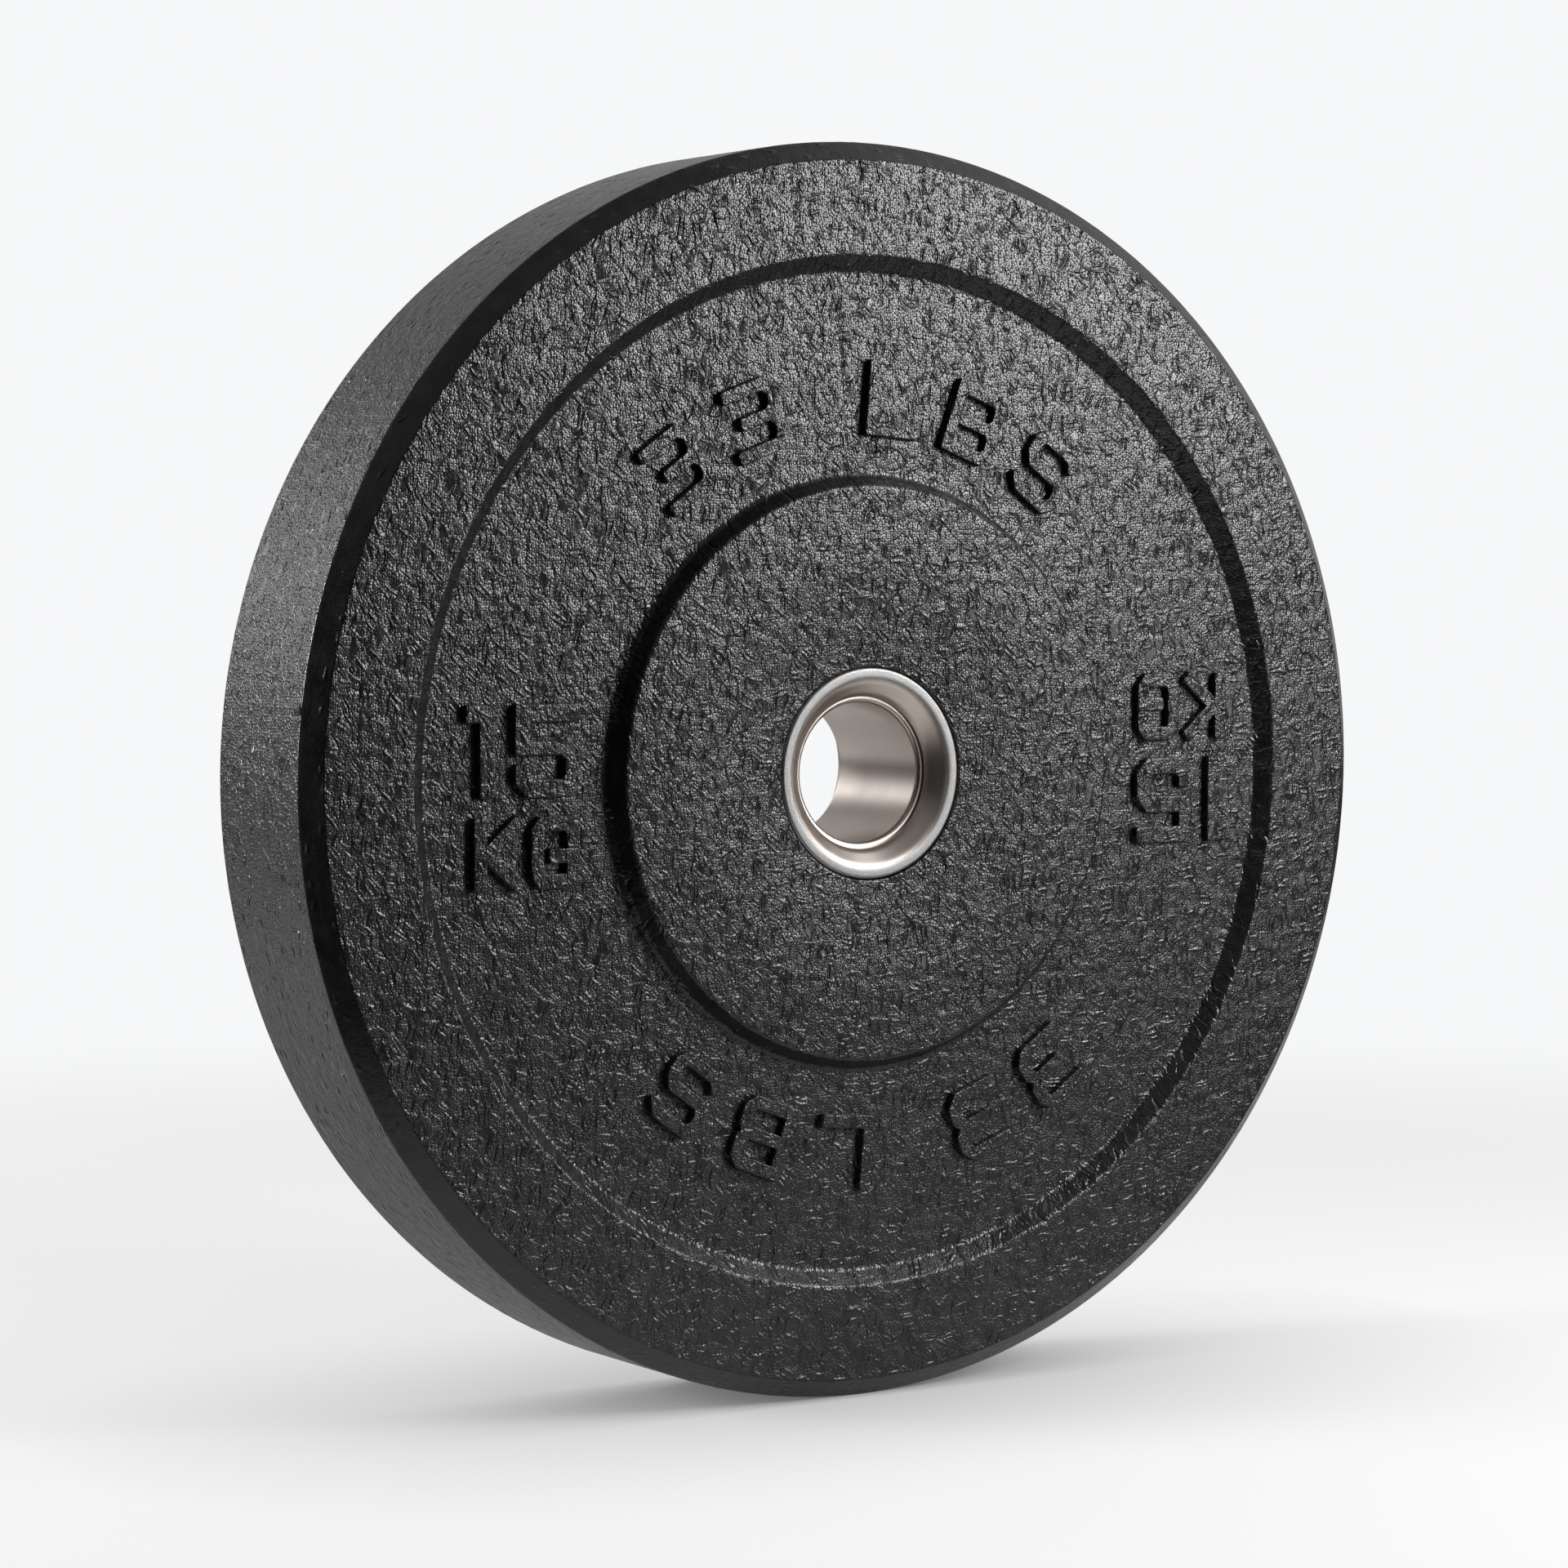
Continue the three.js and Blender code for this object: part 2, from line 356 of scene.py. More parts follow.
def block_polygons():
    """The weight in kilograms: two digits over two letters, left of the boss."""
    out = []
    left = BLOCK_LEFT
    for letter, size in (("1", ONE_SIZE), ("5", DIGIT_SIZE)):
        out.append([p + [left, BLOCK_DIGIT_FOOT] for p in glyph_polygons(letter, size, DIGIT_STROKE)])
        left += size[0] + BLOCK_DIGIT_GAP
    left = BLOCK_LEFT + BLOCK_LETTER_GAP
    for letter in "KG":
        glyph = glyph_polygons(letter, LETTER_SIZE, LETTER_STROKE)
        out.append([p + [left, BLOCK_LETTER_FOOT] for p in glyph])
        left += LETTER_SIZE[0] + BLOCK_LETTER_GAP
    return out


def arc_polygons():
    """The weight in pounds, letter by letter round the top of the web."""
    angles = []
    angle = 0.0
    for letter in ARC_TEXT:
        if letter == " ":
            angle += ARC_WORD_GAP
            continue
        angles.append(angle)
        angle += ARC_PITCH
    middle = (angles[0] + angles[-1]) / 2
    lift = [0, ARC_RADIUS] - np.array(ARC_SIZE) / 2
    out = []
    for letter, angle in zip(ARC_TEXT.replace(" ", ""), angles):
        turn = math.radians(middle - angle)
        cos, sin = math.cos(turn), math.sin(turn)
        spin = np.array([[cos, sin], [-sin, cos]])
        out.append([(p + lift) @ spin for p in glyph_polygons(letter, ARC_SIZE, ARC_STROKE)])
    return out


def inside(points, polygon):
    """Which points lie inside a closed polygon."""
    found = np.zeros(len(points), bool)
    for a, b in zip(polygon, np.roll(polygon, -1, axis=0)):
        crosses = (a[1] > points[:, 1]) != (b[1] > points[:, 1])
        with np.errstate(divide="ignore", invalid="ignore"):
            at = a[0] + (points[:, 1] - a[1]) * (b[0] - a[0]) / (b[1] - a[1])
        found ^= crosses & (points[:, 0] < at)
    return found


def inside_any(points, polygons):
    """Which points lie inside at least one of the polygons."""
    return np.any([inside(points, polygon) for polygon in polygons], axis=0)


def mark_top(polygons):
    """Triangles that fill the joined polygons of a glyph, and the edges round them."""
    points = []
    faces = []
    for corners in polygons:
        if len(corners) == 4:
            corners = rounded([(*corner, MARK_CORNER) for corner in corners], MARK_CORNER_STEPS)
        corners = resampled(np.vstack([corners, corners[:1]]), MARK_SPACING)[:-1]
        gaps = np.linalg.norm(corners - np.roll(corners, 1, axis=0), axis=1)
        corners = corners[gaps > MARK_LEAST_STEP]
        faces.append(list(range(len(points), len(points) + len(corners))))
        points += list(corners)
    low = np.min([p.min(0) for p in polygons], axis=0)
    high = np.max([p.max(0) for p in polygons], axis=0)
    lines = [np.arange(a, b, MARK_SPACING) for a, b in zip(low, high)]
    grid = np.stack(np.meshgrid(*lines), -1).reshape(-1, 2)
    grid += rng.uniform(-MARK_JITTER, MARK_JITTER, grid.shape) * MARK_SPACING
    points += list(grid[inside_any(grid, polygons)])
    found = delaunay_2d_cdt([Vector(p) for p in points], [], faces, 1, POINT_LEEWAY)
    flat = np.array([tuple(v) for v in found[0]])
    triangles = np.array([f for f in found[2] if len(f) == 3])
    triangles = triangles[inside_any(flat[triangles].mean(1), polygons)]
    sides = np.concatenate([triangles[:, [0, 1]], triangles[:, [1, 2]], triangles[:, [2, 0]]])
    keys = np.sort(sides, axis=1)
    _, first, counts = np.unique(keys, axis=0, return_index=True, return_counts=True)
    return flat, triangles, sides[first[counts == 1]]


# Crumb height maps: overlapping shards of shredded rubber, pressed flat, then strands and slits


def softened(field, passes, wrap):
    """Blurs a map a little with each pass, closing it on itself along its columns if asked."""
    for _ in range(passes):
        for axis in (0, 1):
            if axis == 1 and wrap:
                field = (np.roll(field, 1, 1) + 2 * field + np.roll(field, -1, 1)) / 4
                continue
            padded = np.pad(field, [(1, 1) if a == axis else (0, 0) for a in (0, 1)], mode="edge")
            low = padded[:-2] if axis == 0 else padded[:, :-2]
            high = padded[2:] if axis == 0 else padded[:, 2:]
            field = (low + 2 * field + high) / 4
    return field


def stamp(field, count, lengths, widths, draw, flow, spread, wrap):
    """Draws count shards, each over what is there, at random places and angles."""
    rows, columns = field.shape
    x = rng.uniform(0, columns, count)
    y = rng.uniform(0, rows, count)
    half_length = rng.uniform(*lengths, count) / 2 / CRUMB_PIXEL
    half_width = rng.uniform(*widths, count) / 2 / CRUMB_PIXEL
    angle = rng.normal(0, spread, count) + flow(x, y)
    traits = rng.normal(0, 1, (count, 4))
    for i in range(count):
        reach = int(half_length[i]) + STAMP_MARGIN
        row0, column0 = int(y[i]) - reach, int(x[i]) - reach
        top, bottom = max(row0, 0), min(row0 + 2 * reach + 1, rows)
        across = np.arange(column0, column0 + 2 * reach + 1)
        if not wrap:
            across = across[(across >= 0) & (across < columns)]
        dx = (across - x[i])[None, :]
        dy = (np.arange(top, bottom) - y[i])[:, None]
        cos, sin = math.cos(angle[i]), math.sin(angle[i])
        u = (dx * cos + dy * sin) / half_length[i]
        v = (dy * cos - dx * sin) / half_width[i]
        window = np.ix_(np.arange(top, bottom), across % columns)
        field[window] = draw(field[window], u, v, traits[i])


# Shards, strands and slits: how much they bend and vary, in heights before the map is scaled
SHARD_BEND = 0.35
SHARD_LEVEL = 0.13
SHARD_LEAN = (0.06, 0.07)
SHARD_CROWN = 0.06
STRAND_BEND = 2.5
STRAND_HEIGHT = 0.13
STRAND_SPREAD = 0.05
SLIT_BEND = 1.5
SLIT_DEPTH = 0.3
SLIT_SPREAD = 0.12


def draw_shard(under, u, v, traits):
    """A flat flake with its own level, lean and crown, over what lies under it."""
    bent = v + SHARD_BEND * traits[3] * u * u
    edge = np.abs(u) ** 3 + np.abs(bent) ** 3
    lean = SHARD_LEAN[0] * traits[1] * u
    flake = SHARD_LEVEL * traits[0] + lean + SHARD_LEAN[1] * traits[2] * v - SHARD_CROWN * edge
    return np.where(edge < 1, flake, under)


def thin_mound(u, v, bend):
    """A narrow bent mound, from 1 at its middle to 0 round it."""
    bent = v + bend * u * u
    return np.clip(1 - u * u, 0, 1) * np.exp(-bent * bent)


def draw_strand(under, u, v, traits):
    """A thin curved ridge laid on the surface."""
    height = STRAND_HEIGHT + STRAND_SPREAD * abs(traits[0])
    return under + height * thin_mound(u, v, STRAND_BEND * traits[3])


def draw_slit(under, u, v, traits):
    """A narrow gap between flakes."""
    depth = SLIT_DEPTH + SLIT_SPREAD * abs(traits[0])
    return under - depth * thin_mound(u, v, SLIT_BEND * traits[3])


# Layers of crumb: the area for each shard in square millimetres, the shards' lengths and
# widths in millimetres, how they are drawn and how far they turn off the flow in radians
CRUMB_LAYERS = (
    (4.5, (3.0, 11.0), (1.4, 4.2), draw_shard, 0.75),
    (22, (5.0, 17.0), (0.9, 1.7), draw_strand, 0.5),
    (120, (3.0, 9.0), (0.7, 1.1), draw_slit, 0.3),
)


def crumb_map(width, height, wrap):
    """Heights of the crumb in millimetres, all at or below zero."""
    columns, rows = int(width / CRUMB_PIXEL), int(height / CRUMB_PIXEL)
    area = columns * rows * CRUMB_PIXEL ** 2
    waves = rng.uniform(0, 2 * math.pi, 4)

    def flow(x, y):
        """The shards' main direction, which swirls in whole waves along the map."""
        turn = 2 * math.pi / columns
        swirl, second_swirl, ripple = (
            np.sin(wide * x * turn + high * y * turn + start)
            for (wide, high), start in zip(FLOW_WAVES, waves))
        return math.pi / 2 + FLOW_SWIRL * (swirl + second_swirl) + FLOW_RIPPLE * ripple

    field = np.zeros((rows, columns))
    for area_each, lengths, widths, draw, spread in CRUMB_LAYERS:
        stamp(field, int(area / area_each), lengths, widths, draw, flow, spread, wrap)
    field = softened(field, CRUMB_PASSES, wrap)
    low, high = np.quantile(field, CRUMB_QUANTILES)
    return np.clip((field - high) / (high - low), -1, 0) * CRUMB_DEPTH


def sampled(field, x, y, wrap):
    """Bilinear reading of a map at places in its own pixels."""
    rows, columns = field.shape
    y = np.clip(y, 0, rows - CRUMB_MAP_EDGE)
    x = x % columns if wrap else np.clip(x, 0, columns - CRUMB_MAP_EDGE)
    x0, y0 = np.floor(x).astype(int), np.floor(y).astype(int)
    fx, fy = x - x0, y - y0
    x0, x1 = x0 % columns, (x0 + 1) % columns
    top = field[y0, x0] * (1 - fx) + field[y0, x1] * fx
    bottom = field[y0 + 1, x0] * (1 - fx) + field[y0 + 1, x1] * fx
    return top * (1 - fy) + bottom * fy


face_map = crumb_map(2 * PLATE_RADIUS, 2 * PLATE_RADIUS, False)
tread_map = crumb_map(TREAD_ROUND, TREAD_ACROSS, True)


def face_crumb(seen, side):
    """Height at places on a face. The rear face reads the same map mirrored, so that it differs."""
    at = ((seen if side < 0 else -seen[:, ::-1]) + PLATE_RADIUS) / CRUMB_PIXEL
    return sampled(face_map, at[:, 0], at[:, 1], False)


def tread_crumb(around, across):
    """Height at places round the tread and across it."""
    return sampled(tread_map, around / CRUMB_PIXEL, (across + TREAD_ACROSS / 2) / CRUMB_PIXEL, True)


def edge_crumb(angles):
    """Height along the chamfer's inner edge, shared by the tread piece and the rim bands."""
    return tread_crumb(angles * PLATE_RADIUS, np.zeros_like(angles)) * EDGE_CRUMB_GAIN


# Materials


class Nodes:
    """Small helper for wiring the nodes of a material or of the world."""

    def __init__(self, tree):
        self.tree = tree

    def add(self, kind, inputs=None, **settings):
        node = self.tree.nodes.new(kind)
        for key, value in settings.items():
            setattr(node, key, value)
        for key, value in (inputs or {}).items():
            self.set(node.inputs[key], value)
        return node

    def set(self, socket, value):
        if isinstance(value, bpy.types.NodeSocket):
            self.tree.links.new(value, socket)
        elif isinstance(value, bpy.types.Node):
            self.tree.links.new(value.outputs[0], socket)
        else:
            socket.default_value = value

    def math(self, operation, a, b=0.0):
        return self.add("ShaderNodeMath", {0: a, 1: b}, operation=operation).outputs[0]

    def product(self, *values):
        result = values[0]
        for value in values[1:]:
            result = self.math("MULTIPLY", result, value)
        return result

    def vector(self, operation, a, b):
        return self.add("ShaderNodeVectorMath", {0: a, 1: b}, operation=operation).outputs[0]

    def dot(self, a, b):
        return self.add("ShaderNodeVectorMath", {0: a, 1: b}, operation="DOT_PRODUCT").outputs["Value"]

    def split(self, vector):
        return self.add("ShaderNodeSeparateXYZ", {0: vector}).outputs

    def combine(self, x, y, z=0.0):
        return self.add("ShaderNodeCombineXYZ", {"X": x, "Y": y, "Z": z}).outputs[0]

    def object_place(self):
        return self.add("ShaderNodeTexCoord").outputs["Object"]

    def seen_by_camera(self):
        return self.add("ShaderNodeLightPath").outputs["Is Camera Ray"]

    def ramp(self, value, limits, start=0.0, end=1.0, smooth=True):
        """Goes from start at the first limit to end at the second, and stays there."""
        kind = "SMOOTHSTEP" if smooth else "LINEAR"
        return self.add("ShaderNodeMapRange", {
            "Value": value, "From Min": limits[0], "From Max": limits[1],
            "To Min": start, "To Max": end}, interpolation_type=kind).outputs["Result"]

    def fall(self, value, limits):
        """Goes from 1 at the first limit to 0 at the second."""
        return self.ramp(value, limits, 1.0, 0.0)

    def noise(self, vector, scale, detail=2.0, roughness=0.5):
        return self.add("ShaderNodeTexNoise", {
            "Vector": vector, "Scale": scale, "Detail": detail, "Roughness": roughness}).outputs["Fac"]

    def cells(self, vector, scale=1.0, randomness=1.0, feature="F1"):
        return self.add("ShaderNodeTexVoronoi", {
            "Vector": vector, "Scale": scale, "Randomness": randomness,
        }, voronoi_dimensions="2D", feature=feature)

    def mix(self, share, a, b, kind="RGBA"):
        return self.add("ShaderNodeMix", {"Factor": share, "A": a, "B": b}, data_type=kind).outputs["Result"]

    def bump(self, height):
        """A normal from a height in millimetres."""
        return self.add("ShaderNodeBump", {"Height": height, "Strength": 1.0, "Distance": MM}).outputs[0]


def new_material(name):
    material = bpy.data.materials.new(name)
    material.use_nodes = True
    nodes = Nodes(material.node_tree)
    surface = material.node_tree.nodes["Principled BSDF"]
    return material, nodes, surface


# Crumb rubber: sizes in millimetres, grains in cells or waves for each millimetre
STRAY_GRAIN = 0.1
STRAY_REACH = (6.0, 6.0, 0.0)
FLAKE_GRAIN = (0.3, 0.17, 0.0)
FLAKE_LEAN = 0.4
FLAKE_EDGE = (0.0, 0.1)
SWELL_GRAIN = 0.22
SWELL_HEIGHT = 0.5
SMOOTH_FLAKES = (0.85, 0.87)
SMOOTH_FLAKE_EDGE = (0.06, 0.16)
SMOOTH_FLAKE_SKIN = 0.45
STROKE_RANDOMNESS = 0.6
STROKE_REACH = (0.0, 0.42)
STROKE_CHOICE = 0.02
PEBBLE_RANDOMNESS = 0.8
PEBBLE_LEAN_SHARE = 0.2
WALL_SLOPES = (0.15, 0.6)
MARK_WALL_SLOPES = (1.2, 1.8)
MARK_WALL_BUMP = 0.3
PATCH_GRAIN = 0.12
PATCH_COLOUR_LIMITS = (0.35, 0.7)
PATCH_SHINE_LIMITS = (0.3, 0.7)
PATCH_COLOURS = ((0.008, 0.008, 0.0084, 1), (0.014, 0.0138, 0.0136, 1))
PATCH_ROUGHNESS = (-0.03, 0.04)
MIDDLE = (0.5, 0.5, 0.5)

# Its strokes: turn in degrees, length, width and the share of the cells that have one
RIDGES = ((8, 8.0, 1.8, 0.2), (-44, 9.0, 1.8, 0.22))
CREASES = ((80, 12.0, 2.0, 0.2), (112, 9.0, 1.8, 0.12))
PITS = ((84, 6.5, 2.6, 0.16),)


def strokes(n, place, turn, length, width, share):
    """Separate long mounds of one direction, from 0 round them to 1 along their middles."""
    cos, sin = math.cos(math.radians(turn)), math.sin(math.radians(turn))
    along = n.math("DIVIDE", n.dot(place, (cos, sin, 0.0)), length)
    across = n.math("DIVIDE", n.dot(place, (-sin, cos, 0.0)), width)
    cells = n.cells(n.combine(along, across), randomness=STROKE_RANDOMNESS)
    chosen = n.split(cells.outputs["Color"])[0]
    chosen = n.ramp(chosen, (1.0 - share, 1.0 + STROKE_CHOICE - share))
    return n.math("MULTIPLY", n.fall(cells.outputs["Distance"], STROKE_REACH), chosen)


def leaning(n, place, cells):
    """Height of flat cells that each lean their own way."""
    within = n.vector("SUBTRACT", place, cells.outputs["Position"])
    return n.dot(within, n.vector("SUBTRACT", cells.outputs["Color"], MIDDLE))


def crumb_rubber(name, pebble, pebble_slope, ridge, crease, pit, flake_rise, wall, roughness):
    """Black moulded crumb: a pebbled skin with raised ridges, creases, pits and smoother flakes.

    The pebbles have a width and a slope, and what lies on them has a height or a depth. On walls
    the bump is cut down to the share that wall gives.
    """
    material, n, surface = new_material(name)
    place = n.add("ShaderNodeAttribute", attribute_name="flat_place").outputs["Vector"]
    slope = n.add("ShaderNodeAttribute", attribute_name="slope").outputs["Fac"]
    stray = n.add("ShaderNodeTexNoise", {"Vector": place, "Scale": STRAY_GRAIN, "Detail": 1.0})
    stray = n.vector("SUBTRACT", stray.outputs["Color"], MIDDLE)
    bent = n.vector("ADD", place, n.vector("MULTIPLY", stray, STRAY_REACH))

    flat = n.vector("MULTIPLY", bent, FLAKE_GRAIN)
    flakes = n.cells(flat)
    border = n.cells(flat, feature="DISTANCE_TO_EDGE").outputs["Distance"]
    height = n.product(leaning(n, flat, flakes), n.ramp(border, FLAKE_EDGE), FLAKE_LEAN)
    height = n.math("ADD", height, n.math("MULTIPLY", n.noise(place, SWELL_GRAIN, 1.0), SWELL_HEIGHT))
    for marks, rise in ((RIDGES, ridge), (CREASES, -crease), (PITS, -pit)):
        if not rise:
            continue
        for mark in marks:
            height = n.math("ADD", height, n.math("MULTIPLY", strokes(n, bent, *mark), rise))

    smooth = n.ramp(n.split(flakes.outputs["Color"])[0], SMOOTH_FLAKES)
    smooth = n.math("MULTIPLY", smooth, n.ramp(border, SMOOTH_FLAKE_EDGE))
    height = n.math("ADD", height, n.math("MULTIPLY", smooth, flake_rise))

    cells = n.cells(place, 1.0 / pebble, PEBBLE_RANDOMNESS)
    dome = n.math("POWER", cells.outputs["Distance"], 2.0)
    skin = n.math("MULTIPLY", dome, -pebble * pebble_slope)
    lean = n.math("MULTIPLY", leaning(n, place, cells), pebble_slope * PEBBLE_LEAN_SHARE)
    skin = n.math("ADD", skin, lean)
    skin = n.math("MULTIPLY", skin, n.ramp(smooth, (0.0, 1.0), 1.0, SMOOTH_FLAKE_SKIN))

    calm = n.ramp(slope, WALL_SLOPES, 1.0, wall)
    calm = n.math("MULTIPLY", calm, n.ramp(slope, MARK_WALL_SLOPES, 1.0, MARK_WALL_BUMP))
    height = n.math("MULTIPLY", n.math("ADD", height, skin), calm)

    patches = n.noise(place, PATCH_GRAIN, 3.0, 0.6)
    low, high = (roughness + change for change in PATCH_ROUGHNESS)
    n.set(surface.inputs["Base Color"], n.mix(n.ramp(patches, PATCH_COLOUR_LIMITS), *PATCH_COLOURS))
    n.set(surface.inputs["Roughness"], n.ramp(patches, PATCH_SHINE_LIMITS, low, high, False))
    n.set(surface.inputs["Normal"], n.bump(height))
    return material


def polar_place(n):
    """Radius and depth in millimetres and angle in radians, about the bore's axis."""
    x, y, z = n.split(n.object_place())
    radius = n.math("SQRT", n.math("ADD", n.math("MULTIPLY", x, x), n.math("MULTIPLY", z, z)))
    return n.math("DIVIDE", radius, MM), n.math("DIVIDE", y, MM), n.math("ARCTAN2", z, x)


# Steel: tool rings in waves for each millimetre and radian, grit and smudges in waves for each metre
TOOL_GRAIN = 2.4
TOOL_GRAIN_ROUND = 2.2
GRIT_GRAIN = 2200.0
GRIT_LIMITS = (0.35, 0.65)
TOOL_LIMITS = (0.3, 0.7)
SMUDGE_GRAIN = 60.0
SMUDGE_LIMITS = (0.35, 0.75)
SMUDGE_ROUGHNESS = (-0.03, 0.04)
BLAST_WIDTH = 4.2
BLAST_START = (-0.4, 0.3)
BLAST_END = (-0.5, -0.1)
BLAST_DEPTH = (-0.5, -0.15)
BLAST_BUMP = 0.09
BLAST_ROUGHNESS = 0.06
BLASTED = (0.29, 0.287, 0.285)
BLASTED_DARK_SHARE = 0.75
TURNED_DARK_SHARE = 0.93


def shifted(place, limits):
    """Two limits that are given from a place."""
    return tuple(place + limit for limit in limits)


def two_tones(n, value, limits, colour, dark_share):
    """A colour that darkens to a share of itself where the value is low."""
    dark = (*(c * dark_share for c in colour), 1)
    return n.mix(n.ramp(value, limits), dark, (*colour, 1))


def steel(name, base, roughness, line_bump, blasted_from=None):
    """Stainless steel with fine rings left by the tool, and a blasted rim where asked."""
    material, n, surface = new_material(name)
    radius, depth, angle = polar_place(n)
    rings = n.combine(n.math("MULTIPLY", radius, TOOL_GRAIN), n.math("MULTIPLY", depth, TOOL_GRAIN),
                      n.math("MULTIPLY", angle, TOOL_GRAIN_ROUND))
    lines = n.noise(rings, 1.0, 2.0, 0.6)
    place = n.object_place()
    grit = n.noise(place, GRIT_GRAIN, 2.0, 0.7)
    smudge = n.noise(place, SMUDGE_GRAIN, 3.0, 0.6)
    blast = 0.0
    if blasted_from is not None:
        blast = n.product(
            n.ramp(radius, shifted(blasted_from, BLAST_START)),
            n.fall(radius, shifted(STEEL_RIM_RADIUS, BLAST_END)),
            n.ramp(n.math("ABSOLUTE", depth), shifted(STEEL_FACE_HALF, BLAST_DEPTH)))
    height = n.mix(blast, n.math("MULTIPLY", lines, line_bump), n.math("MULTIPLY", grit, BLAST_BUMP), "FLOAT")
    rough = n.math("ADD", n.math("MULTIPLY", blast, BLAST_ROUGHNESS), roughness)
    rough = n.math("ADD", rough, n.ramp(smudge, SMUDGE_LIMITS, *SMUDGE_ROUGHNESS, False))
    polished = two_tones(n, lines, TOOL_LIMITS, base, TURNED_DARK_SHARE)
    speckled = two_tones(n, grit, GRIT_LIMITS, BLASTED, BLASTED_DARK_SHARE)
    surface.inputs["Metallic"].default_value = 1.0
    n.set(surface.inputs["Base Color"], n.mix(blast, polished, speckled))
    n.set(surface.inputs["Roughness"], rough)
    n.set(surface.inputs["Normal"], n.bump(height))
    return material


turned_steel = steel("turned_steel", (0.66, 0.585, 0.53), 0.36, 0.002, STEEL_RIM_RADIUS - BLAST_WIDTH)
brushed_steel = steel("brushed_steel", (0.56, 0.495, 0.45), 0.33, 0.006)
mill_steel = steel("mill_steel", (0.35, 0.34, 0.33), 0.45, 0.01)
rubber = crumb_rubber(
    "crumb_rubber", pebble=0.88, pebble_slope=0.175, ridge=0.25, crease=0.28, pit=0.0,
    flake_rise=0.1, wall=0.8, roughness=0.24)
tread_rubber = crumb_rubber(
    "tread_rubber", pebble=1.0, pebble_slope=0.24, ridge=0.1, crease=0.0, pit=0.7,
    flake_rise=0.0, wall=0.3, roughness=0.26)


# Rubber pieces


def face_outline():
    """The face's outline from the insert to the tread's middle, with the height taken outwards."""
    return [
        (RUBBER_INNER, STEEL_FACE_HALF - GAP_DEPTH),
        (RUBBER_INNER, STEEL_FACE_HALF, GAP_EDGE_BLEND),
        (RUBBER_INNER + DISH_WIDTH, BOSS_HALF, DISH_BLEND),
        (BOSS_RADIUS, BOSS_HALF, BOSS_EDGE_BLEND),
        (BOSS_FOOT, WEB_HALF, BOSS_FOOT_BLEND),
        (STEP_FOOT, WEB_HALF, STEP_BLEND),
        (STEP_TOP, RIM_HALF, STEP_BLEND),
        (BAND_OUTER, RIM_HALF, TREAD_EDGE_BLEND),
        (PLATE_RADIUS, TREAD_HALF, TREAD_EDGE_BLEND),
        (PLATE_RADIUS, 0.0),
    ]


def rows_between(outline, low, high):
    """The part of an outline whose radius lies between two limits, with its ends cut there."""
    radii = outline[:, 0]
    rows = outline[(radii > low + RADIUS_LEEWAY) & (radii < high - RADIUS_LEEWAY)]
    first, last = ([[limit, np.interp(limit, radii, outline[:, 1])]] for limit in (low, high))
    if low == RUBBER_INNER:
        first = outline[radii <= low + RADIUS_LEEWAY]
    return np.vstack([first, rows, last])


def store_pattern(piece, seen, depth, slope):
    """Keeps what the rubber reads: each point's place in the flat pattern, and how steep it stands."""
    place = np.column_stack([seen, np.full(len(seen), depth)])
    for name, kind, key, values in (("flat_place", "FLOAT_VECTOR", "vector", place),
                                    ("slope", "FLOAT", "value", slope)):
        attribute = piece.data.attributes.new(name, kind, "POINT")
        attribute.data.foreach_set(key, values.astype(np.float32).ravel())


def face_piece(name, rows, normals, side, columns):
    """One ring of a face, displaced by the crumb. Side is -1 in front, 1 behind."""
    angles = 2 * math.pi * np.arange(columns) / columns
    cos, sin = np.tile(np.cos(angles), len(rows)), np.tile(np.sin(angles), len(rows))
    radii = np.repeat(rows[:, 0], columns)
    seen = np.stack([radii * cos, radii * sin], 1)
    at_edge = np.clip((radii - BAND_OUTER + BAND_EDGE_FADE) / BAND_EDGE_FADE, 0, 1)
    heights = face_crumb(seen, side) * (1 - at_edge) + np.tile(edge_crumb(angles), len(rows)) * at_edge
    heights *= np.clip((radii - RUBBER_INNER) / GAP_FADE, 0, 1)
    slope = np.repeat(1 - np.abs(normals[:, 1]), columns)
    heights *= 1 - WALL_CRUMB_LOSS * np.clip(slope * WALL_STEEPNESS, 0, 1)
    radius = radii + np.repeat(normals[:, 0], columns) * heights
    depth = np.repeat(rows[:, 1], columns) + np.repeat(normals[:, 1], columns) * heights
    vertices = np.stack([radius * cos * -side, side * depth, radius * sin], 1)
    piece = quad_piece(name, vertices, grid_quads(len(rows), columns), rubber)
    store_pattern(piece, seen, FACE_PATTERN_DEPTH * side, slope)
    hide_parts("rubber_disc")


def column_count(low, high, inner_share, spacing):
    """Columns that give a ring its spacing at a radius between its edges."""
    return int(2 * math.pi * (inner_share * low + (1 - inner_share) * high) / spacing)


def face_pieces(side, label, spacing):
    """The rings of one face. The two rings of the web have columns in common, so that they join."""
    outline = thinned(resampled(rounded(face_outline()), spacing), spacing * THINNEST_SHARE)
    normals = outline_normals(outline, (0, 1))
    web_columns = column_count(ARC_RADIUS, STEP_FOOT, WEB_SPACING_SHARE, spacing)
    rings = (
        ("boss", RUBBER_INNER, BOSS_FOOT),
        ("web_inner", BOSS_FOOT, ARC_RADIUS),
        ("web_outer", ARC_RADIUS, STEP_FOOT),
        ("rim_band", STEP_FOOT, BAND_OUTER),
    )
    for ring, low, high in rings:
        rows = rows_between(outline, low, high)
        nearest = np.array([np.abs(outline - row).sum(1).argmin() for row in rows])
        columns = column_count(low, high, RING_SPACING_SHARE, spacing)
        if ring.startswith("web"):
            columns = web_columns
        face_piece(f"rubber_{label}_{ring}", rows, normals[nearest], side, columns)


